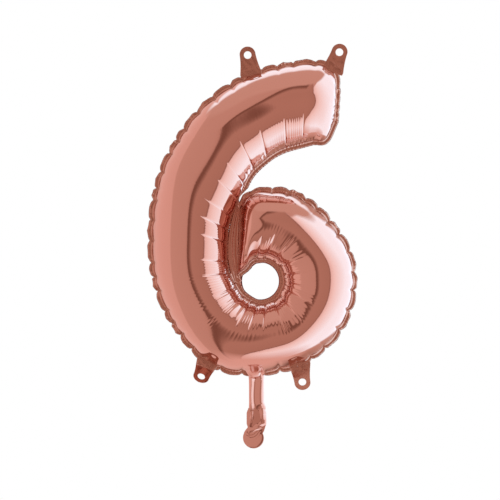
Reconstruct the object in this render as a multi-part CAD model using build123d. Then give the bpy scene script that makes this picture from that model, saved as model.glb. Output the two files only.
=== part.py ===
"""Foil number balloon, digit 6, inflated, with its hanging tabs and filling tail.

Two sheets of metallised film are welded together along a flat border and blown up
between the welds. The digit is one long tube that curls round the counter, and a
welded slit closes the film between the tube's end and its stem. Tabs, neck and tail
are the same two sheets carried on past the border, cut here where the film folds.

X is the reader's right, Y points away from the reader and Z is up. The two films meet
on Y = 0. Layout points are (x, z), measured from the centre of the counter; at the
end everything is moved together so that the origin is the centre of the balloon.
"""

from build123d import *
from math import cos, radians, sin, sqrt
import os

# The inflated digit, in millimetres.
DIGIT_HEIGHT = 316.0  # over the welded border
TUBE_DEPTH = 62.0  # front to back, where the tube is full
END_ROUNDING = 30.0  # distance from a tube end to its full depth
END_DEPTH = 1.0  # front to back, right at a tube end
FILM = 0.4  # wall of each inflated film
WELD_WIDTH = 4.5  # flat border outside the tube
WELD_THICKNESS = 0.6  # both films fused
SLIT_REACH = 18.0  # far enough past the tube's end to meet the stem

# The four hanging tabs.
TAB_WIDTH = 16.0
TAB_ROOT_WIDTH = 21.0
TAB_LENGTH = 21.0  # fold to rounded tip
TAB_STUB = 3.0  # welded film between border and fold
TAB_FOLD = 1.4  # film left free to bend
TAB_HOLE = 7.6  # diameter
TAB_HOLE_FROM_TIP = 8.5

# Neck, tail and the two thin films of the one-way valve.
NECK_WIDTH = 15.6
NECK_ROOT_WIDTH = 24.0
NECK_LENGTH = 28.0
NECK_STUB = 2.5
NECK_FOLD = 3.0
NECK_ROOT_BULGE = 0.9  # stand-off of each film from Y = 0, just below the fold
NECK_BULGE = 3.6  # the same halfway down
CREASE_BULGE = 0.7  # and where neck and tail are creased flat
SEAL = 1.8  # sealed strip down each side
SLEEVE_FILM = 0.25  # wall of each neck, tail and valve film
TAIL_WIDTH = 21.0
TAIL_LENGTH = 36.0
TAIL_FOLD = 3.6
TAIL_BULGE = 1.2
TAIL_DRIFT = -3.5  # the tail's end hangs to the reader's left of the neck
VALVE_INSET = 0.8  # from each edge of the neck
VALVE_REACH = 42.0  # how far the valve hangs into the tube
VALVE_WIDTH = NECK_WIDTH - 2 * VALVE_INSET

# Stations down the tube from the tip of the arm round to the slit: the point on its
# outer seam and the point on its inner seam, laid out for a tube 307.5 high.
LAYOUT_HEIGHT = 307.5
STATIONS = [
    ((75, 192), (73, 160)),
    ((71.5, 208), (64, 142)),
    ((56, 217), (50, 140)),
    ((22, 214), (27, 134)),
    ((-20, 200.5), (4, 121.5)),
    ((-63, 167), (-14.5, 101)),
    ((-96, 116), (-28.5, 68)),
    ((-109, 56), (-34.5, 34)),
    ((-105, 1), (-31.5, 8)),
    ((-84, -46), (-23, -9)),
    ((-48, -83), (-10, -21)),
    ((-5, -90), (3, -23)),
    ((38, -81), (13, -19)),
    ((73, -54.5), (20, -11)),
    ((89.5, -17), (23, -1)),
    ((88, 23), (21, 10)),
    ((66, 61), (14, 18.5)),
    ((33, 86), (4, 22.5)),
    ((4, 89.5), (-7, 21.5)),
    ((-12, 86), (-16, 13.5)),
    ((-22, 72), (-24, 7)),
]
SCALE = (DIGIT_HEIGHT - 2 * WELD_WIDTH) / LAYOUT_HEIGHT
TIP = 0
SLIT = len(STATIONS) - 1
NECK_STATION = 11
SPLIT = 10  # where the border is drawn as two overlapping halves

# Each tab's station on the outer seam, its lean clockwise from upright, and how far it
# is bent towards the reader, in degrees.
TABS = {
    "tab_top_left": (3.77, -10, 0),
    "tab_top_right": (1.08, 20, 0),
    "tab_bottom_left": (9.86, 203, 50),
    "tab_bottom_right": (12, 172, 28),
}


def smooth_point(points, station):
    """Point at a whole or part station on a smooth curve through the points."""
    k = max(0, min(int(station), len(points) - 2))
    f = station - k
    b = Vector(*points[k])
    c = Vector(*points[k + 1])
    a = Vector(*points[k - 1]) if k > 0 else b * 2 - c
    d = Vector(*points[k + 2]) if k + 2 < len(points) else c * 2 - b
    square = (a * 2 - b * 5 + c * 4 - d) * f**2
    cube = (b * 3 - a - c * 3 + d) * f**3
    flat = (b * 2 + (c - a) * f + square + cube) * (0.5 * SCALE)
    return Vector(flat.X, 0, flat.Y)


def seam(side, station):
    """Point on the outer (0) or inner (1) seam."""
    return smooth_point([pair[side] for pair in STATIONS], station)


def middle(station):
    return (seam(0, station) + seam(1, station)) * 0.5


def depth_near_end(distance):
    """Half the tube's depth, which falls away as an ellipse towards both ends."""
    near = max(0, min(distance / END_ROUNDING, 1))
    rise = sqrt(1 - (1 - near) ** 2)
    return (END_DEPTH + (TUBE_DEPTH - END_DEPTH) * rise) / 2


def film_section(station):
    """Closed crescent across the front film: outer face, inner face and two feet."""
    span = seam(0, station) - seam(1, station)
    across = span.normalized()
    centre = middle(station)
    plane = Plane(origin=centre, x_dir=across, z_dir=across.cross(Vector(0, -1, 0)))
    to_end = min((centre - middle(end)).length for end in (TIP, SLIT))
    outer_depth = depth_near_end(to_end)
    inner_depth = min(outer_depth - FILM, depth_near_end(to_end - FILM))
    outer = Edge.make_ellipse(span.length / 2, outer_depth, plane, 0, 180)
    inner = Edge.make_ellipse(span.length / 2 - FILM, inner_depth, plane, 0, 180)
    feet = [Edge.make_line(outer.position_at(end), inner.position_at(end)) for end in (0, 1)]
    return Wire([outer, inner] + feet)


def outward(side, station):
    """Unit normal of a seam, pointing out of the tube."""
    tangent = seam(side, station + 0.02) - seam(side, station - 0.02)
    normal = tangent.cross(Vector(0, 1, 0)).normalized()
    away = seam(side, station) - seam(1 - side, station)
    return normal if normal.dot(away) > 0 else normal * -1


def slab(face):
    """The flat outline as a sheet of fused film, centred on Y = 0."""
    return extrude(face, WELD_THICKNESS / 2, dir=(0, 1, 0), both=True)


def border(first, last, reach):
    """Sheet under one stretch of the tube, grown by the border, and on past its end."""
    count = 4 * (last - first)
    stations = [first + i / 4 for i in range(count + 1)]
    on = (middle(last) - middle(last - 0.1)).normalized() * reach
    sides = []
    for side in (0, 1):
        path = [seam(side, s) + outward(side, s) * WELD_WIDTH for s in stations]
        sides.append(path + [path[-1] + on])
    outline = [
        Spline(*sides[0]),
        Line(sides[0][-1], sides[1][-1]),
        Spline(*sides[1]),
        Line(sides[1][0], sides[0][0]),
    ]
    return slab(Face(Wire(outline)))


def stub(root, way, root_width, end_width, length):
    """Welded film that widens from a fold into the border."""
    across = way.cross(Vector(0, 1, 0))
    start = root - way * WELD_WIDTH / 2
    end = root + way * (WELD_WIDTH + length)
    corners = [
        start - across * root_width / 2,
        start + across * root_width / 2,
        end + across * end_width / 2,
        end - across * end_width / 2,
    ]
    return slab(Face(Wire(Polyline(*corners, close=True))))


def lean(angle):
    """Direction leaning clockwise from upright."""
    return Vector(sin(radians(angle)), 0, cos(radians(angle)))


def tab(station, angle, bend):
    """Hanging tab beyond its fold, with a rounded end and a punched hole."""
    way = lean(angle)
    hinge = seam(0, station) + way * (WELD_WIDTH + TAB_STUB + TAB_FOLD / 2)
    up = way * cos(radians(bend)) + Vector(0, -1, 0) * sin(radians(bend))
    across = way.cross(Vector(0, 1, 0))
    plane = Plane(origin=hinge, x_dir=across, z_dir=across.cross(up))
    start = TAB_FOLD / 2
    end = start + TAB_LENGTH - TAB_WIDTH / 2
    outline = Pos(0, (start + end) / 2) * Rectangle(TAB_WIDTH, end - start)
    outline += Pos(0, end) * Circle(TAB_WIDTH / 2)
    outline -= Pos(0, start + TAB_LENGTH - TAB_HOLE_FROM_TIP) * Circle(TAB_HOLE / 2)
    return extrude(plane * outline, WELD_THICKNESS / 2, both=True)


def lens_section(z, x, width, base, bulge):
    """Closed outline of one bulged film with its two flat sealed edges."""
    edge = width / 2
    seal = edge - SEAL

    def at(across, depth):
        return (x + across, -depth, z)

    skin = base + SLEEVE_FILM
    outline = [
        Polyline(at(-seal, base), at(-edge, base), at(-edge, skin), at(-seal, skin)),
        ThreePointArc(at(-seal, skin), at(0, bulge), at(seal, skin)),
        Polyline(at(seal, skin), at(edge, skin), at(edge, base), at(seal, base)),
        ThreePointArc(at(seal, base), at(0, bulge - SLEEVE_FILM), at(-seal, base)),
    ]
    return Wire([e for part in outline for e in part.edges()])


def strip(x, top, bottom, near, far):
    """Flat front film as wide as the valve, between two depths."""
    size = Box(VALVE_WIDTH, far - near, top - bottom)
    return Pos(x, -(near + far) / 2, (top + bottom) / 2) * size


neck_root = seam(0, NECK_STATION)
neck_x = neck_root.X
stub_end = neck_root.Z - WELD_WIDTH - NECK_STUB
neck_top = stub_end - NECK_FOLD
neck_end = neck_top - NECK_LENGTH
tail_top = neck_end - TAIL_FOLD
tail_round = tail_top - TAIL_LENGTH + TAIL_WIDTH / 2
tail_x = neck_x + TAIL_DRIFT

parts = {}

# The inflated front film: a thin curled dome, with a slot in its foot for the valve and
# a flat strip that carries it down over the throat.
closer = [0.12, 0.35, 0.65]
stations = [TIP] + closer + [s / 3 for s in range(3, 3 * SLIT - 2)]
stations += [SLIT - s for s in reversed(closer)] + [SLIT]
foil = Solid.make_loft([film_section(s) for s in stations], ruled=True)
foil -= strip(neck_x, neck_root.Z + WELD_WIDTH, neck_root.Z - WELD_WIDTH, 0, SLEEVE_FILM)
foil += strip(neck_x, neck_root.Z + FILM / 2, stub_end, SLEEVE_FILM, SLEEVE_FILM + FILM)
parts["front_foil"] = foil

# The welded border, the slit and the roots of the tabs and neck, open at the throat.
weld = border(TIP, SPLIT, WELD_WIDTH) + border(SPLIT, SLIT, SLIT_REACH)
for station, angle, bend in TABS.values():
    weld += stub(seam(0, station), lean(angle), TAB_ROOT_WIDTH, TAB_WIDTH, TAB_STUB)
weld += stub(neck_root, lean(180), NECK_ROOT_WIDTH, NECK_WIDTH, NECK_STUB)
footprint = [seam(0, s) for s in stations] + [seam(1, s) for s in reversed(stations)]
weld -= slab(Face(Wire(Polyline(*footprint, close=True))))
throat = strip(neck_x, neck_root.Z + WELD_WIDTH, stub_end, -WELD_THICKNESS, WELD_THICKNESS)
parts["edge_weld"] = weld - throat

for name, (station, angle, bend) in TABS.items():
    parts[name] = tab(station, angle, bend)

# The valve's tongue inside the tube, and its lead inside the neck.
tongue_top = neck_root.Z + VALVE_REACH
parts["valve_front_film"] = strip(neck_x, tongue_top, stub_end, 0, SLEEVE_FILM)
parts["valve_lead_front"] = strip(neck_x, neck_top, neck_end, 0, SLEEVE_FILM)

neck_halfway = (neck_top + neck_end) / 2
neck_sections = [
    lens_section(neck_top, neck_x, NECK_WIDTH, SLEEVE_FILM, NECK_ROOT_BULGE),
    lens_section(neck_halfway, neck_x, NECK_WIDTH, SLEEVE_FILM, NECK_BULGE),
    lens_section(neck_end, neck_x, NECK_WIDTH, SLEEVE_FILM, CREASE_BULGE),
]
parts["neck_front_film"] = Solid.make_loft(neck_sections, ruled=True)

tail_sections = [
    lens_section(tail_top, neck_x, NECK_WIDTH, 0, CREASE_BULGE),
    lens_section(tail_round, tail_x, TAIL_WIDTH, 0, TAIL_BULGE),
    lens_section(tail_round - TAIL_WIDTH / 2, tail_x, TAIL_WIDTH, 0, TAIL_BULGE),
]
tail = Solid.make_loft(tail_sections, ruled=True)
round_end = Pos(tail_x, 0, tail_round) * Rot(90, 0, 0) * Cylinder(TAIL_WIDTH / 2, 4 * TAIL_BULGE)
shank = Pos(tail_x, 0, tail_round + TAIL_LENGTH / 2) * Box(2 * TAIL_WIDTH, 4 * TAIL_BULGE, TAIL_LENGTH)
parts["tail_front_film"] = tail & (round_end + shank)

for front, back in {
    "front_foil": "back_foil",
    "valve_front_film": "valve_back_film",
    "valve_lead_front": "valve_lead_back",
    "neck_front_film": "neck_back_film",
    "tail_front_film": "tail_back_film",
}.items():
    parts[back] = mirror(parts[front], Plane.XZ)

centre = Compound(list(parts.values())).bounding_box().center()
os.makedirs("parts", exist_ok=True)
for name, shape in parts.items():
    export_step(Pos(-centre) * shape, f"parts/{name}.step")
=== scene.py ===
# %% [markdown]
# # A foil number balloon
# The balloon is two sheets of metallised film, welded along a flat border and blown up.
# The solids come first, as a fixed frame: they say where each piece is and how the tabs,
# the neck and the tail fold. Everything below is made in that frame, in metres, with Z up
# and the front of the digit facing -Y.

# %% The frame
import math
import bmesh
import bpy
import numpy as np
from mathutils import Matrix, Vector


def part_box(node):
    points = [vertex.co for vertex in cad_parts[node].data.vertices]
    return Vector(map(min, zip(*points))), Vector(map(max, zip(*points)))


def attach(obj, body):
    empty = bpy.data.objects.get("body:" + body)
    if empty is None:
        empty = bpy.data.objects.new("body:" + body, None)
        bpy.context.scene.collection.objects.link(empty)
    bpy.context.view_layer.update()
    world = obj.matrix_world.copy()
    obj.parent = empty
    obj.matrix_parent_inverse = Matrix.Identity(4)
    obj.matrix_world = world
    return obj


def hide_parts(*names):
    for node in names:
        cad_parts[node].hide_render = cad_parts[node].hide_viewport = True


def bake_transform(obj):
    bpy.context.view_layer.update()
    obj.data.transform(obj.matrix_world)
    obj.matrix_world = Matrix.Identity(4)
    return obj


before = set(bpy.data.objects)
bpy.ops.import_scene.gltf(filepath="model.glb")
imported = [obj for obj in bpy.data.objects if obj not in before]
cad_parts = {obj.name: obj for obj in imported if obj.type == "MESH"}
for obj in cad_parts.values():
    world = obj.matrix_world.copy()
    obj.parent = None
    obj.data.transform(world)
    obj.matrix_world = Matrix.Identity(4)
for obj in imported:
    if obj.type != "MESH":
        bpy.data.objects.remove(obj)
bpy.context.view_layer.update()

MM = 0.001

# %% [markdown]
# ## The digit's layout
# The tube runs from the tip of the arm, down the stem and round the counter to a slit. At
# each station it has a point on its outer seam and one on its inner seam, the same ones
# that the solids were lofted through. A smooth curve through the stations gives any point
# between them, so a whole sheet of film can be laid out from two numbers: how far down the
# tube a point is, and how far round it.

# %% Stations down the tube
STATIONS = np.array([
    ((75, 192), (73, 160)),
    ((71.5, 208), (64, 142)),
    ((56, 217), (50, 140)),
    ((22, 214), (27, 134)),
    ((-20, 200.5), (4, 121.5)),
    ((-63, 167), (-14.5, 101)),
    ((-96, 116), (-28.5, 68)),
    ((-109, 56), (-34.5, 34)),
    ((-105, 1), (-31.5, 8)),
    ((-84, -46), (-23, -9)),
    ((-48, -83), (-10, -21)),
    ((-5, -90), (3, -23)),
    ((38, -81), (13, -19)),
    ((73, -54.5), (20, -11)),
    ((89.5, -17), (23, -1)),
    ((88, 23), (21, 10)),
    ((66, 61), (14, 18.5)),
    ((33, 86), (4, 22.5)),
    ((4, 89.5), (-7, 21.5)),
    ((-12, 86), (-16, 13.5)),
    ((-22, 72), (-24, 7)),
]) * MM * 307 / 307.5
# Each tab's station on the outer seam, its lean clockwise from upright, and its bend
# towards the front, in degrees.
TABS = {
    "tab_top_left": (3.77, -10, 0),
    "tab_top_right": (1.08, 20, 0),
    "tab_bottom_left": (9.86, 203, 50),
    "tab_bottom_right": (12, 172, 28),
}
NECK_STATION = 11
SLIT = len(STATIONS) - 1
print(len(STATIONS), "stations,", len(TABS), "tabs")


# %% Points on the seams
def on_seam(side, u):
    """Points (x, z) on the outer (0) or inner (1) seam at the stations u."""
    points = STATIONS[:, side]
    points = np.vstack([2 * points[0] - points[1], points, 2 * points[-1] - points[-2]])
    k = np.clip(np.floor(u).astype(int), 0, SLIT - 1)
    f = (u - k)[..., None]
    a, b, c, d = (points[k + i] for i in range(4))
    curve = 2 * b + (c - a) * f + (2 * a - 5 * b + 4 * c - d) * f**2 + (3 * b - a - 3 * c + d) * f**3
    return 0.5 * curve


lofted = on_seam(0, np.arange(3 * SLIT + 1) / 3)
low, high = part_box("front_foil")
shift = np.array([low.x - lofted[:, 0].min(), high.z - lofted[:, 1].max()])
print("layout shifted by", np.round(shift / MM, 2), "mm")

# %% [markdown]
# ## Where the film puckers
# Flat film cannot curve two ways at once, so an inflated curl has film to spare. At the
# outer seam it gathers into pillows about 17 mm wide with a sharp notch between them. On
# the inside of the curl it breaks into sharp cross creases, and near the inner seam those
# split again and again into finer wrinkles. They could be painted as bump, but a mirror
# shows every wrong slope, so each kind is real shape: one wave down the tube, with a reach
# that says how far from its seam it goes. A seeded generator spaces them unevenly.

# %% Uneven spacing along a seam
rng = np.random.default_rng(6)


def uneven(total, spacing, spread):
    """Places from 0 to total, roughly a spacing apart."""
    gaps = spacing * (1 + spread * rng.uniform(-1, 1, int(total / spacing) + 8))
    places = np.cumsum(gaps) - gaps[0]
    places = places[: np.searchsorted(places, total)]
    return places * total / places[-1]


def between(s, places):
    """Number of the gap that s lies in, and how far through it, from 0 to 1."""
    k = np.clip(np.searchsorted(places, s, side="right") - 1, 0, len(places) - 2)
    return k, np.clip((s - places[k]) / (places[k + 1] - places[k]), 0, 1)


def fade(distance, reach):
    """1 at a seam, falling smoothly to 0 at the reach."""
    x = np.clip(distance / reach, 0, 1)
    return (1 - x) ** 2 * (1 + 2 * x)


def summed(steps):
    """Running total of the steps, starting from 0."""
    return np.concatenate([[0], np.cumsum(steps)])


def lengths_along(points):
    """How far along a polyline each of its points is."""
    return summed(np.linalg.norm(np.diff(points, axis=0), axis=1))


print("halfway to its reach a pucker has", fade(0.5, 1), "of its height")

# %% Distance down the tube
END_ROUNDING = 30 * MM
fine_u = np.linspace(0, SLIT, 4001)
fine_mid = (on_seam(0, fine_u) + on_seam(1, fine_u)) / 2
from_tip = np.linalg.norm(fine_mid - fine_mid[0], axis=1)
from_slit = np.linalg.norm(fine_mid - fine_mid[-1], axis=1)
# The wrinkles belong to the inside of the curl, so distance is measured on its flank.
run = lengths_along(0.25 * on_seam(0, fine_u) + 0.75 * on_seam(1, fine_u))
print("flank", round(run[-1] / MM), "mm long")

# %% Where the cross creases lie
CREASE_SPACING, CREASE_SPACING_ROUND_COUNTER = 20 * MM, 14 * MM
tight = np.clip((fine_u - 7.5) / 1.5, 0, 1)
spacing = CREASE_SPACING + (CREASE_SPACING_ROUND_COUNTER - CREASE_SPACING) * tight
creases_passed = summed(np.diff(run) / spacing[1:])
crease_run = np.interp(uneven(creases_passed[-1], 1, 0.25), creases_passed, run)
print(len(crease_run), "cross creases")

# %% [markdown]
# ## Rows of the sheet
# A mirror needs a fine mesh, but only where the film is busy. So the rows across the tube
# crowd at the creases and round the counter, and are further apart on the smooth stem.
# Round each end of the tube they follow a quarter circle, which closes it evenly.

# %% Rows of the sheet
END_ROWS, BODY_ROWS, ROUND_ROWS = 27, 800, 49
rise = END_ROUNDING * (1 - np.cos(np.linspace(0, np.pi / 2, END_ROWS)))
u_tip = np.interp(rise, from_tip[:500], fine_u[:500])
u_slit = np.interp(rise, from_slit[::-1][:700], fine_u[::-1][:700])[::-1]
to_crease = np.abs(run[:, None] - crease_run[None, :]).min(axis=1)
crowding = np.interp(fine_u, (0, 3, 4, 6.5, 7.5, SLIT), (1.3, 1.3, 0.8, 0.8, 1.4, 1.4))
crowding = crowding + 1.8 * np.exp(-((to_crease / (1.1 * MM)) ** 2))
rows_passed = summed(np.diff(run) * crowding[1:])
row_ends = np.interp((u_tip[-1], u_slit[0]), fine_u, rows_passed)
u_rows = np.interp(np.linspace(*row_ends, BODY_ROWS)[1:-1], rows_passed, fine_u)
u_rows = np.concatenate([u_tip, u_rows, u_slit])
# Round the tube, 0 is the outer seam and pi the inner one, and the columns crowd at both.
round_rows = np.linspace(0, 1, ROUND_ROWS)
round_rows = np.pi * (round_rows - 0.045 * np.sin(2 * np.pi * round_rows))
print("sheet of", len(u_rows), "by", len(round_rows), "points")

# %% Measures at each row
TUBE_RADIUS = 34 * MM
seams = [on_seam(side, u_rows) for side in (0, 1)]
outer_run, inner_run = lengths_along(seams[0]), lengths_along(seams[1])
flank_run = lengths_along(seams[1] * 0.75 + seams[0] * 0.25)
rows_run = np.interp(u_rows, fine_u, run)
to_end = np.minimum(np.interp(u_rows, fine_u, from_tip), np.interp(u_rows, fine_u, from_slit))
round_counter = np.clip((u_rows - 7.5) / 1.5, 0, 1)
from_outer = TUBE_RADIUS * round_rows[None, :]
from_inner = TUBE_RADIUS * (np.pi - round_rows[None, :])
print("outer seam", round(outer_run[-1] / MM), "mm, inner seam", round(inner_run[-1] / MM), "mm")

# %% [markdown]
# ## Pillows
# Along the outer seam the film gathers into a row of pillows. A pillow is a half-round
# lobe that swells out of the tube, and each notch between two pinches a short crease into
# it. Near the slit the film is tighter, and the pillows are half as high.

# %% Notches along the outer seam
PILLOW_WIDTH, PILLOW_HEIGHT = 17 * MM, 1.6 * MM
PINCH_WIDTH, PINCH_DEPTH = 1.4 * MM, 1.0 * MM
notches = uneven(outer_run[-1], PILLOW_WIDTH, 0.3)
notch_reach = rng.uniform(0.004, 0.015, len(notches))
notch_depth = rng.uniform(0.5, 1.2, len(notches))
print(len(notches) - 1, "pillows")


# %% Pillows and pinches
def outer_pillows():
    """Pillows at the outer seam, with a pinch at each notch."""
    k, x = between(outer_run, notches)
    near = np.where(x < 0.5, k, k + 1)
    gap = notches[k + 1] - notches[k]
    lobe = (4 * x * (1 - x)) ** 0.5 - 0.6
    swell = PILLOW_HEIGHT * np.interp(u_rows, (16.5, 17), (1, 0.5))
    push = (swell * lobe)[:, None] * np.exp(-((from_outer / (12 * MM)) ** 2))
    pinch = np.exp(-np.minimum(x, 1 - x) * gap / PINCH_WIDTH) * notch_depth[near]
    return push - PINCH_DEPTH * pinch[:, None] * fade(from_outer, 2 * notch_reach[near][:, None])


def end_pillows():
    """Small pillows along the two ends of the tube."""
    push = 0
    across = np.linalg.norm(seams[0] - seams[1], axis=1)[:, None] * (1 - np.cos(round_rows)) / 2
    for at_end, width, swell in ((u_rows < 4, 8.5, 1.1), (u_rows > 16, 12.5, 0.7)):
        x = (across / (width * MM) + 0.2) % 1
        pillow = ((4 * x * (1 - x)) ** 0.5 - 0.6) * np.exp(-((to_end[:, None] / (7 * MM)) ** 1.5))
        push = push + swell * MM * pillow * at_end[:, None] * np.sin(round_rows) ** 0.3
    return push


print("pillows stand out by", round(outer_pillows().max() / MM, 2), "mm")

# %% [markdown]
# ## Creases and wrinkles
# A cross crease is a sharp valley, with a slightly bulging panel on each side. The fine
# wrinkles have rounded crests and sharp valleys, since film buckles rather than bends, and
# three sizes of them overlap: the finest stay at the inner seam, the next go further, and
# a faint fan of them crosses the whole inside of the curl where it is tightest.

# %% Waves
CREASE_WIDTH, CREASE_DEPTH, PANEL_BULGE = 0.65 * MM, 1.0 * MM, 0.5 * MM


def ridged(phase):
    """A wave with rounded crests and sharp valleys, from -1 to 1."""
    return 2 * np.abs(np.sin(np.pi * phase)) - 1


def wandering(film_rng, phase, step, low, high):
    """Random values that change smoothly, one new value every few waves."""
    places = np.arange(0, phase[-1] + 2 * step, step)
    return np.interp(phase, places, film_rng.uniform(low, high, len(places)))


def cross_creases(film_rng):
    """Sharp creases across the inside of the curl, with bulging panels between."""
    reach = film_rng.uniform(0.040, 0.050, len(crease_run))
    depth = film_rng.uniform(0.6, 1.2, len(crease_run))
    k, x = between(rows_run, crease_run)
    near = np.where(x < 0.5, k, k + 1)
    begin = np.clip((from_inner - 1 * MM) / (7 * MM), 0, 1)
    past_tip = np.clip((u_rows - 1.9) / 0.8, 0, 1)[:, None]
    valley = np.exp(-np.abs(rows_run - crease_run[near]) / CREASE_WIDTH) * depth[near]
    fold = -CREASE_DEPTH * valley[:, None] * fade(from_inner, reach[near][:, None]) ** 0.3
    panel = PANEL_BULGE * (4 * x * (1 - x))[:, None] * fade(from_inner, 55 * MM)
    return (fold + panel) * begin * past_tip


print("creases", CREASE_DEPTH / MM, "mm deep")

# %% Fine wrinkles
FINE_WAVE, FAN_WAVE = 2.6 * MM, 2.7 * MM
FINE_HEIGHT, MEDIUM_HEIGHT, FAN_HEIGHT = 0.26 * MM, 0.34 * MM, 0.11 * MM
past_seam = np.clip((from_inner - 2 * MM) / (6 * MM), 0, 1)
# The film is smoother where it turns under the counter.
smoother = np.clip((u_rows - 7.8) / 0.5, 0, 1) * np.clip((11.3 - u_rows) / 0.5, 0, 1)
# How strong the far-reaching wrinkles are, by station.
FAN_STATIONS = (0, 0.8, 1.3, 2.6, 3.2, 6, 7, 8, 15, 17, 19, 20)
FAN_STRENGTH = (0, 0, 1.8, 1.8, 0.3, 0.3, 1, 1.9, 1.9, 1.2, 0.8, 0)


def wrinkles(film_rng):
    """Finer and finer wrinkles towards the inner seam."""
    fine = summed(np.diff(inner_run) / FINE_WAVE)
    strength = wandering(film_rng, fine, 2, 0.4, 1.4)
    reach = (14 + 16 * round_counter) * MM * (0.6 + 0.5 * strength)
    strength *= 1 - 0.75 * smoother
    wave = ridged(fine + wandering(film_rng, fine, 3, -0.8, 0.8)) * strength
    push = FINE_HEIGHT * wave[:, None] * fade(from_inner, reach[:, None])
    medium = fine * 0.47
    strength = wandering(film_rng, medium, 1, 0.2, 1.3)
    reach = (22 + 26 * round_counter) * MM * (0.5 + 0.6 * strength)
    wave = ridged(medium + wandering(film_rng, medium, 2, -0.5, 0.5)) * strength
    return push + MEDIUM_HEIGHT * wave[:, None] * past_seam * fade(from_inner, reach[:, None])


def fan(film_rng):
    """Faint wrinkles that fan out much further, where the curl is tight."""
    phase = summed(np.diff(flank_run) / FAN_WAVE)
    strength = wandering(film_rng, phase, 1.5, 0.0, 1.2)
    strength = strength * np.interp(u_rows, FAN_STATIONS, FAN_STRENGTH)
    reach = 0.052 + wandering(film_rng, phase, 2, -0.006, 0.012)
    wave = ridged(phase + wandering(film_rng, phase, 3, -0.6, 0.6)) * strength
    return FAN_HEIGHT * wave[:, None] * past_seam * fade(from_inner, reach[:, None]) ** 0.5


print("finest wrinkles", FINE_WAVE / MM, "mm apart")


# %% All the puckers of one film
SLOW_WAVE = 0.16 * MM


def slow_waves(film_rng):
    """Slow waves, because no film is perfectly even."""
    push = 0
    for _ in range(7):
        down = film_rng.uniform(0.6, 2.2)
        across = film_rng.uniform(-2, 2)
        phase = film_rng.uniform(0, 6.3)
        wave = np.sin(down * u_rows[:, None] * 2 + across * round_rows[None, :] + phase)
        push = push + SLOW_WAVE * wave
    return push


def puckers(film_rng):
    """How far each point is pushed out of the smooth tube, in metres."""
    push = outer_pillows() + cross_creases(film_rng)
    push = push + wrinkles(film_rng) + fan(film_rng) + slow_waves(film_rng)
    return push * np.clip(to_end / (12 * MM), 0.15, 1)[:, None] + end_pillows()


print("five kinds of pucker on", len(u_rows) * len(round_rows), "points")

# %% [markdown]
# ## The dome of one film
# The smooth tube is a half ellipse between the two seams, a little blunt where it meets
# the outer weld. The puckers push each point along the surface's own normal. Above the
# neck the film runs out over it in a collar, so the dome flows down into the neck.

# %% The smooth tube
HALF_DEPTH, FILM_GAP = 31 * MM, 0.06 * MM
NECK_DIP, COLLAR, COLLAR_AT, COLLAR_REACH = 4.3 * MM, 7.2 * MM, 3.5 * MM, 3.6 * MM


def smooth_tube(way):
    """The unwrinkled film and its normals, on the side that faces way along Y."""
    near = np.clip(to_end / END_ROUNDING, 0, 1)
    depth = HALF_DEPTH * np.sqrt(1 - (1 - near) ** 2)
    a = np.cos(round_rows)
    middle, half = (seams[0] + seams[1]) / 2, (seams[0] - seams[1]) / 2
    tube = np.zeros((len(u_rows), len(a), 3))
    tube[..., [0, 2]] = middle[:, None, :] + half[:, None, :] * a[None, :, None]
    blunt = np.interp(u_rows, (0, 2, 16.5, 17.5), (1.3, 1.15, 1.15, 1.3))[:, None]
    blunt = 1 + (blunt - 1) * np.clip(a, 0, 1) ** 2
    tube[..., 1] = way * (depth[:, None] * np.sin(round_rows)[None, :] ** blunt + FILM_GAP)
    normal = np.cross(np.gradient(tube, axis=0), np.gradient(tube, axis=1))
    normal /= np.linalg.norm(normal, axis=2)[..., None] + 1e-12
    normal *= np.sign(normal[len(u_rows) // 2, len(a) // 2, 1]) * way
    return tube, normal


print("tube", 2 * HALF_DEPTH / MM, "mm deep")


# %% The film's dome
def seam_normal(side, u):
    """Unit normals in the plane of the seam, pointing out of the tube."""
    tangent = on_seam(side, u + 0.02) - on_seam(side, u - 0.02)
    normal = np.stack([tangent[:, 1], -tangent[:, 0]], axis=1)
    normal /= np.linalg.norm(normal, axis=1)[:, None]
    away = on_seam(side, u) - on_seam(1 - side, u)
    return normal * np.sign((normal * away).sum(axis=1))[:, None]


def film_dome(way, film_rng):
    """The wrinkled film between its seams, and how near each point is to the neck."""
    dome, normal = smooth_tube(way)
    dome += normal * puckers(film_rng)[..., None]
    k, x = between(outer_run, notches)
    scallop = 0.9 * MM * ((4 * x * (1 - x)) ** 0.55 - 0.62)
    slide = scallop[:, None] * np.exp(-8 * round_rows)[None, :]
    dome[..., [0, 2]] += seam_normal(0, u_rows)[:, None, :] * slide[..., None]
    neck = on_seam(0, np.array([float(NECK_STATION)]))[0]
    beside = np.exp(-(((dome[..., 0] - neck[0]) / (9 * MM)) ** 4))
    by_neck = beside * ((u_rows > 9) & (u_rows < 13))[:, None]
    collar = np.interp(from_outer, (0, COLLAR_AT), (NECK_DIP, COLLAR))
    collar = collar * np.exp(-np.clip(from_outer - COLLAR_AT, 0, 1) / COLLAR_REACH)
    dome[..., 2] -= by_neck * collar
    return dome, by_neck


print("collar", COLLAR / MM, "mm over the neck")

# %% [markdown]
# ## The weld
# Outside the seams the two films lie flat against each other in a border 4.5 mm wide. It
# goes round both ends too, and between the stem and the end of the bowl it fills the slit
# with a web. Round the counter its edge is cut to a circle. The border's few extra rows
# and columns carry on from the dome's edge, and let it wave a little out of its plane.

# %% The border along the tube
EDGE_ROWS, WEB_ROWS = 3, 8
BORDER = 4.5 * MM
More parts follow.
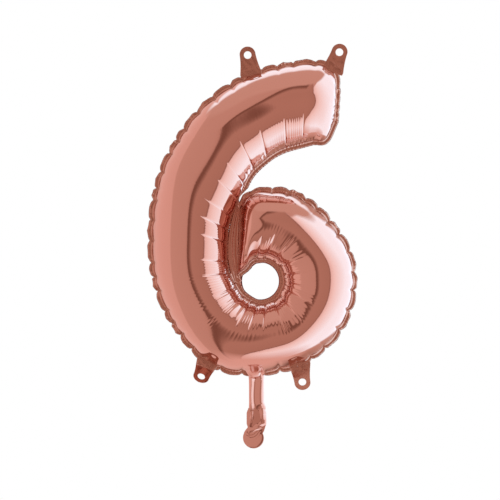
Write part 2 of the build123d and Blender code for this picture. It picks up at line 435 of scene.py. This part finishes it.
# Stations between which the web meets the stem.
WEB_TOP, WEB_FOOT = 5.55, 8.6
FIRST, LAST = EDGE_ROWS, EDGE_ROWS + len(u_rows) - 1
COLS = len(round_rows) + 2 * EDGE_ROWS
OUTER_SEAM, INNER_SEAM = EDGE_ROWS, COLS - 1 - EDGE_ROWS
body = slice(FIRST, LAST + 1)


def with_border(dome, way, by_neck):
    """A grid with the dome in its middle and the border beside both seams."""
    grid = np.zeros((EDGE_ROWS + len(u_rows) + WEB_ROWS, COLS, 3))
    grid[body, OUTER_SEAM:INNER_SEAM + 1] = dome
    in_web = np.clip((u_rows - WEB_TOP + 0.35) / 0.3, 0, 1)
    in_web = in_web * np.clip((WEB_FOOT + 0.35 - u_rows) / 0.3, 0, 1)
    widths = BORDER, BORDER * (1 - 0.93 * in_web)
    for side, width, seam, step in ((0, widths[0], OUTER_SEAM, -1), (1, widths[1], INNER_SEAM, 1)):
        out = seam_normal(side, u_rows)
        for i in range(1, EDGE_ROWS + 1):
            reach = out * np.broadcast_to(width * i / EDGE_ROWS, len(u_rows))[:, None]
            grid[body, seam + step * i, 0] = grid[body, seam, 0] + reach[:, 0]
            grid[body, seam + step * i, 2] = grid[body, seam, 2] + reach[:, 1]
            grid[body, seam + step * i, 1] = way * FILM_GAP
            if side == 0:
                grid[body, seam - i, 2] += NECK_DIP * by_neck * i / EDGE_ROWS
    return grid


print("border", BORDER / MM, "mm wide")


# %% The border round the tip
def add_tip_border(grid, way):
    """Fills the rows before the tip, fanning round its two corners."""
    on = fine_mid[0] - fine_mid[20]
    on = on / np.linalg.norm(on)
    inner = slice(OUTER_SEAM, INNER_SEAM + 1)
    for i in range(1, EDGE_ROWS + 1):
        grid[FIRST - i, inner] = grid[FIRST, inner]
        grid[FIRST - i, inner, 0] += on[0] * BORDER * i / EDGE_ROWS
        grid[FIRST - i, inner, 2] += on[1] * BORDER * i / EDGE_ROWS
        for side, seam, step in ((0, OUTER_SEAM, -1), (1, INNER_SEAM, 1)):
            out = seam_normal(side, u_rows[:1])[0]
            for j in range(1, EDGE_ROWS + 1):
                lean = out * j + on * i
                lean *= BORDER * max(i, j) / EDGE_ROWS / np.linalg.norm(lean)
                grid[FIRST - i, seam + step * j] = grid[FIRST, seam] + (lean[0], 0, lean[1])
                grid[FIRST - i, seam + step * j, 1] = way * FILM_GAP


print(EDGE_ROWS, "rows round the tip")

# %% The web in the slit
HOLE = np.array([-1.0, 0.0]) * MM
HOLE_RADIUS = 18.4 * MM


def add_web(grid, way):
    """Bridges from the end of the bowl to the stem's inner seam."""
    before = np.linspace(-0.05, 0, EDGE_ROWS, endpoint=False)
    after = np.linspace(0, 0.09, EDGE_ROWS + 1)[1:] + 1
    share = np.concatenate([before, (1 - np.cos(round_rows)) / 2, after])
    target = on_seam(1, WEB_TOP + (WEB_FOOT - WEB_TOP) * share)
    for i in range(1, WEB_ROWS + 1):
        f = i / WEB_ROWS
        grid[LAST + i] = grid[LAST] * (1 - f)
        grid[LAST + i, :, 0] += target[:, 0] * f
        grid[LAST + i, :, 2] += target[:, 1] * f
        grid[LAST + i, :, 1] = way * (FILM_GAP - 0.04 * MM * f)


def cut_hole(grid):
    """Pulls the border's inner edge out to the circle round the counter."""
    bowl = np.concatenate([np.zeros(EDGE_ROWS), u_rows > 8, np.ones(WEB_ROWS)])
    for row in np.flatnonzero(bowl):
        edge = grid[row, -1, [0, 2]]
        too_far = np.linalg.norm(edge - HOLE) - HOLE_RADIUS
        if too_far > 0:
            pull = (HOLE - edge) / np.linalg.norm(HOLE - edge) * too_far
            for i in range(1, EDGE_ROWS + 1):
                grid[row, INNER_SEAM + i, 0] += pull[0] * i / EDGE_ROWS
                grid[row, INNER_SEAM + i, 2] += pull[1] * i / EDGE_ROWS


print("counter hole", 2 * HOLE_RADIUS / MM, "mm across")


# %% Waves in the weld
RUFFLE, SHIVER, INNER_SHIVER, TIP_WAVE, WEB_FOLD = 1.3 * MM, 0.25 * MM, 0.2 * MM, 1.0 * MM, 0.9 * MM


def ruffle(grid):
    """Lets the flat weld wave in and out, the same for both films."""
    k, x = between(outer_run, notches)
    swing = np.sin(2 * np.pi * (x + 0.31 * k)) * (0.6 + 0.4 * np.cos(k * 2.3))
    roots = np.interp([station for station, _, _ in TABS.values()] + [NECK_STATION], u_rows, outer_run)
    to_root = np.abs(outer_run[:, None] - roots[None, :]).min(axis=1)
    swing *= np.clip((to_root - 12 * MM) / (8 * MM), 0, 1)
    shiver = np.sin(2 * np.pi * outer_run / (3.1 * MM) + 3 * np.sin(outer_run / (20 * MM)))
    col = np.arange(COLS)
    tip_wave = np.sin(col * 0.62 + 1.3 * np.sin(col * 0.21))
    out = seam_normal(0, u_rows)
    for i in range(1, EDGE_ROWS + 1):
        f = i / EDGE_ROWS
        grid[body, OUTER_SEAM - i, 1] += RUFFLE * swing * f**1.3 + SHIVER * shiver * f
        grid[body, OUTER_SEAM - i, 0] -= 0.9 * MM * np.abs(swing) * f * out[:, 0]
        grid[body, OUTER_SEAM - i, 2] -= 0.9 * MM * np.abs(swing) * f * out[:, 1]
        grid[body, INNER_SEAM + i, 1] += INNER_SHIVER * np.sin(2 * np.pi * inner_run / (4.3 * MM)) * f
        grid[FIRST - i, :, 1] += TIP_WAVE * f * tip_wave
    for i in range(1, WEB_ROWS):
        f = i / WEB_ROWS
        fold = np.sin(2 * np.pi * 2.2 * f + 0.9 * np.sin(col * 0.19)) * np.sin(np.pi * f)
        grid[LAST + i, :, 1] += WEB_FOLD * fold


print("the weld waves by", RUFFLE / MM, "mm")


# %% One film, border and all
def film_points(way, film_rng):
    """Grid of points of one film, in the layout's frame."""
    dome, by_neck = film_dome(way, film_rng)
    grid = with_border(dome, way, by_neck[:, 0])
    add_tip_border(grid, way)
    add_web(grid, way)
    cut_hole(grid)
    ruffle(grid)
    return grid


def both_films():
    """Both films' points, with the same outer edge, where the weld ends."""
    films = [film_points(way, np.random.default_rng(seed)) for way, seed in ((-1, 11), (1, 29))]
    for at in ((0,), (-1,), (slice(None), 0), (slice(None), -1)):
        shared = (films[0][at] + films[1][at]) / 2
        for points in films:
            points[at] = shared
    for points in films:
        points[..., [0, 2]] += shift
    return films


films = both_films()
print("each film", films[0].shape[0], "by", films[0].shape[1], "points")

# %% [markdown]
# ## The foil skin
# Each film could be a lofted surface, but a grid gives every point a known place down the
# tube and round it. Blender's grid operator makes the faces, and its points then take the
# places worked out above. Both films go into one mesh and are joined along the weld's
# outer edge, so the skin is closed, as the real one is. Faces on the weld are marked, for
# their finish differs.

# %% The foil skin
def place_in_grid(co, shape):
    """Row and column of a place on the grid operator's own square, from -1 to 1."""
    return (co.x + 1) / 2 * (shape[0] - 1), (co.y + 1) / 2 * (shape[1] - 1)


def lay_out(verts, points):
    """Moves a grid operator's points to the given rows and columns."""
    for v in verts:
        i, j = place_in_grid(v.co, points.shape)
        v.co = points[round(i), round(j)]


def finish(bm, name, *materials):
    """Turns a bmesh into a named, smooth-shaded object."""
    mesh = bpy.data.meshes.new(name)
    bm.to_mesh(mesh)
    bm.free()
    mesh.shade_smooth()
    for material in materials:
        mesh.materials.append(material)
    piece = bpy.data.objects.new(name, mesh)
    bpy.context.collection.objects.link(piece)
    print(name, len(mesh.vertices), "points,", len(mesh.polygons), "faces")
    return piece


def foil_skin():
    """Both films in one closed mesh, with the faces of the weld marked."""
    bm = bmesh.new()
    border_layer = bm.faces.layers.int.new("on_border")
    for points in films:
        rows, cols = points.shape[:2]
        made = bmesh.ops.create_grid(bm, x_segments=rows - 1, y_segments=cols - 1, size=1)["verts"]
        for face in {f for v in made for f in v.link_faces}:
            i, j = place_in_grid(face.calc_center_median(), points.shape)
            on_film = FIRST < i < LAST and OUTER_SEAM < j < INNER_SEAM
            face[border_layer] = 0 if on_film else 1
        lay_out(made, points)
    edge = [v for v in bm.verts if v.is_boundary]
    bmesh.ops.remove_doubles(bm, verts=edge, dist=0.02 * MM)
    bmesh.ops.recalc_face_normals(bm, faces=bm.faces)
    return bm


skin = finish(foil_skin(), "foil_skin")
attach(skin, "balloon")
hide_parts("front_foil", "back_foil", "edge_weld")

# %% [markdown]
# ## Film
# The film is clear plastic with a breath of aluminium behind a rose tint: a coloured
# mirror. A metal shader under a clear coat gives that, since the plastic's own face
# reflects white. On the dome its only roughness is a faint haze. On the weld the hot
# jaws of the sealer leave a fine, duller crinkle, which breaks every reflection up.

# %% Colours and nodes
def linear(hex_colour):
    """sRGB hex to the linear colour that shaders use."""
    parts = [int(hex_colour[i:i + 2], 16) / 255 for i in (1, 3, 5)]
    return [p / 12.92 if p <= 0.04045 else ((p + 0.055) / 1.055) ** 2.4 for p in parts] + [1]


def add_node(tree, kind, values=(), links=(), **settings):
    """Adds a node, sets its properties and input values, and links other outputs to it."""
    node = tree.nodes.new(kind)
    for name, value in settings.items():
        setattr(node, name, value)
    for socket, value in dict(values).items():
        node.inputs[socket].default_value = value
    for socket, output in dict(links).items():
        tree.links.new(output, node.inputs[socket])
    return node


def noise(tree, place, size_mm, **shape):
    """Output of a noise whose largest features have the given size."""
    values = {"Scale": 1 / (size_mm * MM), **{name.title(): value for name, value in shape.items()}}
    return add_node(tree, "ShaderNodeTexNoise", values, {"Vector": place}).outputs["Fac"]


def spread(tree, value, low, high):
    """Output of a node that maps 0 to low and 1 to high."""
    return add_node(tree, "ShaderNodeMapRange", {"To Min": low, "To Max": high}, {"Value": value}).outputs[0]


def new_material(name):
    """A material, its tree, its shader and its object coordinates."""
    material = bpy.data.materials.new(name)
    material.use_nodes = True
    tree = material.node_tree
    place = add_node(tree, "ShaderNodeTexCoord").outputs["Object"]
    return material, tree, tree.nodes["Principled BSDF"], place


print("rose tint", [round(v, 3) for v in linear("#DBA99B")])

# %% Metallised film
HAZE_MM = 30


def metallised_film(name, colour, roughness, crinkle_mm, crinkle_height_mm, strength):
    """Coloured mirror film under a clear face, with a crinkle of the given size."""
    material, tree, shader, place = new_material(name)
    shader.inputs["Base Color"].default_value = linear(colour)
    shader.inputs["Metallic"].default_value = 1
    shader.inputs["Coat Weight"].default_value = 0.6
    shader.inputs["Coat Roughness"].default_value = 0.03
    crinkle = noise(tree, place, crinkle_mm, detail=3, distortion=1.2)
    height = {"Distance": crinkle_height_mm * MM, "Strength": strength}
    bump = add_node(tree, "ShaderNodeBump", height, {"Height": crinkle})
    tree.links.new(bump.outputs[0], shader.inputs["Normal"])
    haze = noise(tree, place, HAZE_MM, detail=2)
    tree.links.new(spread(tree, haze, roughness * 0.7, roughness * 1.4), shader.inputs["Roughness"])
    return material


# A clear mirror image, with only a slight unsteadiness.
film = metallised_film("metallised_film", "#DBA99B", 0.06, 5, 0.05, 0.25)
# A darker, sparkling rim, because the crinkle is finer and steeper.
sealed = metallised_film("heat_sealed_film", "#C4917F", 0.16, 1.3, 0.10, 0.8)
skin.data.materials.append(film)
skin.data.materials.append(sealed)
on_border = skin.data.attributes["on_border"].data
for polygon in skin.data.polygons:
    polygon.material_index = int(on_border[polygon.index].value)
print(sum(cell.value for cell in on_border), "faces on the weld")

# %% [markdown]
# ## Hanging tabs
# A tab is the two sheets carried on past the border and sealed flat, with a hole punched
# for a ribbon. It widens towards its root. The die that punched it left a round end, so
# the sheet is a ring of faces between the hole and the outline, rather than a plate with a
# hole cut by a boolean, which would leave long thin faces. The film is a little cockled by
# the heat of the seal, and it bends at its fold, so it is blended there.

# %% The tab's outline
TAB_WIDTH, TAB_ROOT, TAB_LENGTH = 16 * MM, 23 * MM, 21 * MM
TAB_STUB, TAB_FOLD, TAB_SHEET = 3 * MM, 1.4 * MM, 0.22 * MM
TAB_HOLE, TAB_HOLE_FROM_TIP = 7.6 * MM, 8.5 * MM
# The fold's place, measured from the hole's centre towards the tip.
FOLD_AT = -(TAB_LENGTH - TAB_HOLE_FROM_TIP + TAB_FOLD / 2)


def grid_sheet(points):
    """A mesh from an operator's grid, with its points moved to the given rows and columns."""
    rows, cols = points.shape[:2]
    bm = bmesh.new()
    bmesh.ops.create_grid(bm, x_segments=rows - 1, y_segments=cols - 1, size=1)
    lay_out(bm.verts, points)
    bmesh.ops.remove_doubles(bm, verts=bm.verts, dist=0.005 * MM)
    bmesh.ops.recalc_face_normals(bm, faces=bm.faces)
    return bm


def tab_outline(angle):
    """Distance from the hole's centre to the tab's edge, in each direction."""
    radius = TAB_WIDTH / 2
    round_from = TAB_HOLE_FROM_TIP - radius
    to_root = TAB_LENGTH - TAB_HOLE_FROM_TIP + TAB_FOLD + TAB_STUB + BORDER
    reach = np.linspace(0, 30 * MM, 1500)
    edge = np.empty_like(angle)
    for n, a in enumerate(angle):
        x, y = reach * np.cos(a), reach * np.sin(a)
        half = radius + (TAB_ROOT / 2 - radius) * np.clip(-y / to_root, 0, 1) ** 1.6
        over = np.clip(y - round_from, 0, radius)
        half = np.where(y > round_from, np.sqrt(np.maximum(radius**2 - over**2, 0)), half)
        inside = (np.abs(x) <= half) & (y >= -to_root) & (y <= TAB_HOLE_FROM_TIP)
        edge[n] = reach[inside].max()
    return edge


print("tabs", TAB_WIDTH / MM, "mm wide, holes", TAB_HOLE / MM, "mm")

# %% Hanging tabs
def cockled(x, y, seed):
    """How far the heat of the seal and the crease at the fold lift the flat sheet."""
    tab_rng = np.random.default_rng(seed)
    lift = np.zeros_like(x)
    for _ in range(9):
        size = tab_rng.uniform(2.5, 9) * MM
        turn = tab_rng.uniform(0, np.pi)
        wave = 2 * np.pi * (x * np.cos(turn) + y * np.sin(turn)) / size + tab_rng.uniform(0, 6.3)
        lift += size * 0.0035 * np.sin(wave)
    past_fold = y - FOLD_AT
    crease = 0.5 * MM * np.exp(-np.abs(past_fold - 0.5 * x * np.sin(seed)) / (1.1 * MM))
    return (lift + crease) * np.clip((past_fold + TAB_STUB + BORDER) / (3 * MM), 0.05, 1)


def hanging_tab(name, station, lean, bend, seed):
    """One tab at its root on the outer seam, leaning, and bent at its fold."""
    angle = np.linspace(0, 2 * np.pi, 97)
    share = np.linspace(0, 1, 25)[:, None]
    reach = TAB_HOLE / 2 * (1 - share) + tab_outline(angle)[None, :] * share
    x, y = reach * np.cos(angle), reach * np.sin(angle)
    root = on_seam(0, np.array([station]))[0] + shift
    way = np.array([math.sin(math.radians(lean)), 0, math.cos(math.radians(lean))])
    across, front = np.array([way[2], 0, -way[0]]), np.array([0, -1, 0])
    hinge = np.array([root[0], 0, root[1]]) + way * (BORDER + TAB_STUB + TAB_FOLD / 2)
    t = np.clip((y - FOLD_AT + TAB_FOLD) / (2 * TAB_FOLD), 0, 1)
    bent = (math.radians(bend) * t * t * (3 - 2 * t))[..., None]
    points = hinge + across * x[..., None]
    points = points + (y - FOLD_AT)[..., None] * (way * np.cos(bent) + front * np.sin(bent))
    points = points + cockled(x, y, seed)[..., None] * (front * np.cos(bent) - way * np.sin(bent))
    bm = grid_sheet(points)
    bmesh.ops.solidify(bm, geom=bm.faces[:] + bm.edges[:] + bm.verts[:], thickness=TAB_SHEET)
    bmesh.ops.recalc_face_normals(bm, faces=bm.faces)
    tab = finish(bm, "film_" + name, sealed)
    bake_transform(tab)
    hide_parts(name)


for seed, (name, (station, lean, bend)) in enumerate(TABS.items()):
    hanging_tab(name, station, lean, bend, seed + 3)

# %% [markdown]
# ## Neck and tail
# The neck is a narrow sleeve of the same film. It swells out of the dome, with lengthwise
# pleats that were pressed in when it lay folded. Below it the sleeve is creased flat,
# rucked up, and ends in a round paddle. Each could be cloth, but film this stiff keeps its
# folds, so each is a lofted tube whose rings are pressed to a pleated outline.

# %% The sleeve's rings
RING = 120
neck_low, neck_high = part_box("neck_front_film")
tail_low, tail_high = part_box("tail_front_film")
neck_x = (neck_low.x + neck_high.x) / 2
tail_x = (tail_low.x + tail_high.x) / 2
seam_z = (on_seam(0, np.array([float(NECK_STATION)]))[0] + shift)[1]
# How far the pleated front stands out across the sleeve, from its left edge to its right.
PLEATS = (
    (-1, -0.88, -0.7, -0.34, -0.2, 0.48, 0.66, 0.84, 1),
    (0, 0.6, 0.95, 0.42, 0.38, 1, 0.86, 0.62, 0),
)


def sleeve(name, z, half_width, half_depth, middle_x, turn, pleated, relief):
    """A closed tube down Z, from arrays of its size at each height."""
    around = np.linspace(0, 2 * np.pi, RING + 1)
    across, oval, front = np.cos(around), np.abs(np.sin(around)), np.sin(around) > 0
    x = half_width[:, None] * across
    # The pleats wander a little from side to side on their way down.
    folded = np.interp(across + 0.05 * np.sin(z[:, None] / (5 * MM)) * oval, *PLEATS)
    stands = half_depth[:, None] * (oval + (folded - oval) * pleated[:, None])
    # However flat it is pressed, the two sheets stay a little apart.
    stands = np.maximum(stands, 0.15 * MM * oval)
    y = np.where(front, -stands, stands) - np.where(front, relief(x, z[:, None]), 0) * oval**0.5
    points = np.zeros((len(z), RING + 1, 3))
    points[..., 0] = middle_x[:, None] + x * np.cos(turn)[:, None] - y * np.sin(turn)[:, None]
    points[..., 1] = x * np.sin(turn)[:, None] + y * np.cos(turn)[:, None]
    points[..., 2] = z[:, None]
    bm = grid_sheet(points)
    bmesh.ops.holes_fill(bm, edges=[e for e in bm.edges if e.is_boundary], sides=0)
    bmesh.ops.recalc_face_normals(bm, faces=bm.faces)
    return finish(bm, name, film)


print("neck", round((neck_high.z - neck_low.z) / MM, 1), "mm long")

# %% Neck
z = np.linspace(seam_z + 3 * MM, neck_low.z - 0.6 * MM, 110)
below = (seam_z - z) / MM
# Its foot, where it is pressed wider and flatter before the crease.
foot = np.clip((below - 31) / 5, 0, 1)
half_width = (7.5 + 3.6 * np.exp(-np.clip(below + 1, 0, 99) / 3.2) + 0.9 * foot) * MM
half_depth = (2.6 + 1.6 * np.exp(-np.clip(below - 2, 0, 99) / 3)) * MM
half_depth *= 1 - 0.6 * np.clip((below - 33) / 5, 0, 1)
middle = neck_x + 0.8 * MM * foot
pleated = np.clip((below - 1) / 7, 0, 1)


def neck_dents(x, z):
    """Two small dents where the pleats start."""
    first = np.hypot((x + 1.2 * MM) / (2.2 * MM), (z - seam_z + 9.5 * MM) / (0.9 * MM))
    second = np.hypot((x - 2.8 * MM) / (1.6 * MM), (z - seam_z + 9.9 * MM) / (0.8 * MM))
    return -0.5 * MM * (np.exp(-first**2) + 0.7 * np.exp(-second**2))


neck = sleeve("neck_sleeve", z, half_width, half_depth, middle, np.zeros_like(z), pleated, neck_dents)
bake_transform(neck)
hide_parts("neck_front_film", "neck_back_film")

# %% [markdown]
# ## Tail
# Below the crease the loose film has been pushed up into rucks: soft ridges with a sharp
# top, each leaning its own way. They press a few arcs into the flat paddle below them.

# %% The rucks
# Each ruck: across, down from the neck's end, half width, half height and height, in
# millimetres, and its lean in degrees.
RUCKS = (
    (-2.6, 9.0, 6.0, 9.5, 1.3, -6),
    (-5.2, 7.5, 1.6, 7.5, 0.8, -8),
    (6.6, 4.5, 3.6, 8.0, 2.0, 4),
    (4.0, 15.5, 8.5, 3.0, 1.3, 27),
    (0.5, 20.0, 8.0, 2.2, 1.0, 18),
)
PADDLE_RADIUS, ARC_SPACING, ARC_HEIGHT = 10.6 * MM, 2.5 * MM, 0.34 * MM


def rucks(x, z):
    """The folds of the rucked film, and the arcs that they press into the paddle."""
    down = neck_low.z - z
    height = 0
    for across, at, half_wide, half_high, stands, lean in RUCKS:
        c, s = math.cos(math.radians(lean)), math.sin(math.radians(lean))
        dx, dz = x - across * MM, at * MM - down
        r = np.hypot((dx * c + dz * s) / (half_wide * MM), (dz * c - dx * s) / (half_high * MM))
        height = height + stands * MM * np.clip(1 - np.sqrt(r**2 + 0.01), 0, 1)
    reach = np.hypot(x + 3 * MM, down - 20 * MM)
    in_paddle = np.clip((down - 21 * MM) / (3 * MM), 0, 1) * np.clip(1 - reach / (12 * MM), 0, 1)
    return height + ARC_HEIGHT * in_paddle * np.sin(2 * np.pi * reach / ARC_SPACING)


print(len(RUCKS), "rucks")

# %% Tail
z = np.linspace(neck_low.z + 0.8 * MM, tail_low.z, 170)
below = (neck_low.z - z) / MM
from_paddle = z - (tail_low.z + PADDLE_RADIUS)
half_width = np.interp(below, (0, 1.5, 4, 15, 18.5, 22), (8.3, 9.0, 9.9, 9.9, 8.8, 9.6)) * MM
half_round = np.sqrt(np.maximum(PADDLE_RADIUS**2 - from_paddle**2, 1e-12))
half_width = np.where(from_paddle < 4 * MM, half_round, half_width)
half_depth = np.interp(below, (0, 5, 15, 24, 38, 40), (0.9, 1.3, 1.1, 0.6, 0.6, 0.05)) * MM
middle = np.interp(below, (18.5, 24), (neck_x, tail_x))
pleated = np.interp(below, (0, 4, 12, 20), (1, 0.5, 0.3, 0))
turn = np.radians(np.interp(below, (0, 6, 18, 26), (0, 3, -4, -10)))
tail = sleeve("tail_sleeve", z, half_width, half_depth, middle, turn, pleated, rucks)
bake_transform(tail)
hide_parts("tail_front_film", "tail_back_film")

# %% [markdown]
# ## Valve
# Inside the throat lie two strips of thin clear film. Gas pushes them apart on its way in
# and presses them together when it tries to leave. Nothing of them shows on a filled
# balloon, so the solids stay as they are, and only get their finish: blown polyethylene,
# a little cloudy, with faint streaks along the way that it was drawn.

# %% Valve film
STREAK_MM, STREAK_STRETCH = 0.8, 0.1


def valve_film():
    """Blown low-density polyethylene, which lets cloudy light through."""
    material, tree, shader, place = new_material("blown_polyethylene")
    shader.inputs["IOR"].default_value = 1.51
    shader.inputs["Transmission Weight"].default_value = 0.5
    stretch = {"Scale": (1, 1, STREAK_STRETCH)}
    drawn = add_node(tree, "ShaderNodeMapping", stretch, {"Vector": place}).outputs[0]
    streaks = noise(tree, drawn, STREAK_MM, detail=2)
    tree.links.new(spread(tree, streaks, 0.2, 0.45), shader.inputs["Roughness"])
    tone = {"A": linear("#ECEAE6"), "B": linear("#DDDAD3")}
    tint = add_node(tree, "ShaderNodeMix", tone, {"Factor": streaks}, data_type="RGBA")
    tree.links.new(tint.outputs["Result"], shader.inputs["Base Color"])
    return material


polyethylene = valve_film()
for node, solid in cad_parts.items():
    if node.startswith("valve"):
        solid.data.materials.clear()
        solid.data.materials.append(polyethylene)
        print(node, "gets", polyethylene.name)

# %% [markdown]
# ## Light
# A coloured mirror looks like whatever stands round it, so the room makes the foil look
# like foil. Real cards and lamps would work, but they get in the way when the balloon is
# seen from another side. So the room is a world whose colour depends on direction alone:
# a wall all the way round, whose bands lean as they rise, one bright soft box to the
# right, a floor, a ceiling and a backdrop. Only the film sees it: the camera sees white.

# %% The wall's colours
LIGHT, MID = (0.98, 0.70, 0.66), (0.75, 0.505, 0.446)
DARKER, GAP = (0.55, 0.333, 0.275), (0.26, 0.13, 0.10)
SOFT_BOX, SOFT_BOX_FAR = (1.12, 0.97, 0.99), (1.36, 1.85, 2.24)
BACKDROP, CEILING = (1.33, 1.7, 2.0), (0.78, 0.55, 0.49)
# Degrees to the right of straight in front, and the wall's colour there.
WALL = [
    (-180, DARKER), (-166, DARKER),
    (-165, GAP), (-162, GAP),
    (-150, MID), (-120, LIGHT),
    (-57, (0.92, 0.65, 0.6)), (-54, MID),
    (-12, (0.71, 0.47, 0.41)), (-8, (0.65, 0.41, 0.35)),
    (-7, GAP), (-3.5, GAP),
    (3, (0.59, 0.36, 0.3)), (33, DARKER),
    (36.5, (0.34, 0.18, 0.145)), (38.5, SOFT_BOX),
    (52, (1.24, 1.26, 1.36)), (100, SOFT_BOX_FAR),
    (150, SOFT_BOX_FAR), (157, MID),
    (180, DARKER),
]
print(len(WALL), "stops round the wall")


# %% Node arithmetic
def maths(tree, operation, *inputs):
    """Output of a maths node, whose inputs are numbers or other outputs."""
    numbers = {i: v for i, v in enumerate(inputs) if isinstance(v, (int, float))}
    outputs = {i: v for i, v in enumerate(inputs) if i not in numbers}
    return add_node(tree, "ShaderNodeMath", numbers, outputs, operation=operation).outputs[0]


def passed(tree, value, start, end, top=1):
    """Output that goes from 0 to top as the value goes from start to end."""
    span = {"From Min": start, "From Max": end, "To Max": top}
    return add_node(tree, "ShaderNodeMapRange", span, {"Value": value}).outputs[0]


def covered(tree, share, under, colour):
    """Output of a colour laid over another, as far as the share says."""
    over = {"B": (*colour, 1)}
    mix = add_node(tree, "ShaderNodeMix", over, {"Factor": share, "A": under}, data_type="RGBA")
    return mix.outputs["Result"]


print("node helpers: maths, passed and covered")

# %% The leaning wall
# Radians that the bands lean for each radian of height, and the height, in radians, within
# which they bend over from one side to the other.
LEAN, SOFT_HORIZON = 1.05, 0.25


def round_the_wall(tree, xyz):
    """Angle round the wall in each direction, from -pi to pi, with the lean and the bend."""
    azimuth = maths(tree, "ARCTAN2", xyz["X"], maths(tree, "MULTIPLY", xyz["Y"], -1))
    height = maths(tree, "ARCSINE", xyz["Z"])
    tilt = maths(tree, "POWER", maths(tree, "MULTIPLY_ADD", height, height, SOFT_HORIZON**2), 0.5)
    angle = maths(tree, "MULTIPLY_ADD", tilt, LEAN, azimuth)
    angle = maths(tree, "SUBTRACT", angle, LEAN * SOFT_HORIZON)
    # High up in front, the bands bend over further still.
    raised = passed(tree, height, math.radians(22), math.radians(90), math.radians(122))
    aside = maths(tree, "ABSOLUTE", maths(tree, "ADD", azimuth, math.radians(10)))
    ahead = passed(tree, aside, math.radians(50), math.radians(18))
    angle = maths(tree, "SUBTRACT", angle, maths(tree, "MULTIPLY", raised, ahead))
    return maths(tree, "WRAP", angle, -math.pi, math.pi)


def wall_colour(tree, angle):
    """The wall's colour at an angle."""
    ramp = add_node(tree, "ShaderNodeValToRGB", links={0: passed(tree, angle, -math.pi, math.pi)})
    stops = ramp.color_ramp.elements
    for degrees, _ in WALL[1:-1]:
        stops.new((degrees + 180) / 360)
    for stop, (degrees, colour) in zip(stops, WALL):
        stop.position = (degrees + 180) / 360
        stop.color = (*colour, 1)
    return ramp.outputs[0]


print("bands lean by", LEAN, "radians a radian")

# %% The studio
# Sines of the heights at which the floor and the ceiling take over from the wall, how far
# behind the balloon the backdrop starts, and the slanting top of the soft box.
FLOOR_EDGE, CEILING_EDGE, BACKDROP_EDGE = (-0.80, -0.98), (0.68, 0.76), (0.18, 0.32)
SOFT_BOX_SLANT, SOFT_BOX_TOP = -1.2, (0.13, 0.19)


def studio():
    """The whole room, which only the film sees; the camera sees plain white."""
    world = bpy.data.worlds.new("studio")
    bpy.context.scene.world = world
    world.use_nodes = True
    tree = world.node_tree
    tree.nodes.clear()
    look = add_node(tree, "ShaderNodeTexCoord").outputs["Generated"]
    xyz = add_node(tree, "ShaderNodeSeparateXYZ", links={0: look}).outputs
    angle = round_the_wall(tree, xyz)
    # The soft box ends at a slant: the wall shows above it.
    slant = maths(tree, "MULTIPLY_ADD", xyz["X"], SOFT_BOX_SLANT, xyz["Z"])
    above = passed(tree, slant, *SOFT_BOX_TOP)
    beside = passed(tree, angle, math.radians(37.5), math.radians(38.5))
    room = covered(tree, maths(tree, "MULTIPLY", above, beside), wall_colour(tree, angle), MID)
    room = covered(tree, passed(tree, xyz["Z"], *FLOOR_EDGE), room, LIGHT)
    ceiling = passed(tree, xyz["Z"], *CEILING_EDGE)
    room = covered(tree, ceiling, room, CEILING)
    behind = passed(tree, xyz["Y"], *BACKDROP_EDGE)
    room = covered(tree, maths(tree, "MULTIPLY", ceiling, behind), room, BACKDROP)
    seen = add_node(tree, "ShaderNodeBackground", links={"Color": room}).outputs[0]
    plain = add_node(tree, "ShaderNodeBackground", {"Color": (1, 1, 1, 1)}).outputs[0]
    by_camera = add_node(tree, "ShaderNodeLightPath").outputs["Is Camera Ray"]
    both = add_node(tree, "ShaderNodeMixShader", links={0: by_camera, 1: seen, 2: plain})
    add_node(tree, "ShaderNodeOutputWorld", links={0: both.outputs[0]})
    print("room of", len(tree.nodes), "nodes")


studio()
bpy.context.scene.view_settings.view_transform = "Standard"

# %% [markdown]
# ## Floor
# The balloon hangs free, so the floor is only a pale painted disc well below it, with
# slow unevenness from the roller. The film doesn't reflect it: the room has its own floor.

# %% Floor
FLOOR_RADIUS, FLOOR_Z, ROLLER_MM = 1.1, -0.45, 200


def painted_floor():
    """Matt, nearly white paint."""
    material, tree, shader, place = new_material("painted_floor")
    shader.inputs["Roughness"].default_value = 0.8
    pale = {"A": linear("#F8F5EE"), "B": linear("#FCFAF4")}
    tone = add_node(tree, "ShaderNodeMix", pale, {"Factor": noise(tree, place, ROLLER_MM)}, data_type="RGBA")
    tree.links.new(tone.outputs["Result"], shader.inputs["Base Color"])
    return material


bm = bmesh.new()
bmesh.ops.create_circle(bm, cap_ends=True, segments=96, radius=FLOOR_RADIUS)
bmesh.ops.translate(bm, verts=bm.verts, vec=(0, 0, FLOOR_Z))
floor = finish(bm, "floor", painted_floor())
floor.visible_glossy = False

# %% [markdown]
# ## Camera
# A long lens from one and a half metres, level with the balloon, keeps its sides parallel.

# %% Camera
camera = bpy.data.objects.new("camera", bpy.data.cameras.new("camera"))
bpy.context.collection.objects.link(camera)
camera.data.lens = 108
camera.data.sensor_width = 36
camera.data.clip_end = 50
camera.location = (-0.0023, -1.5, -0.0039)
camera.rotation_euler = (math.pi / 2, 0, 0)
bpy.context.scene.camera = camera
print("camera", camera.data.lens, "mm")
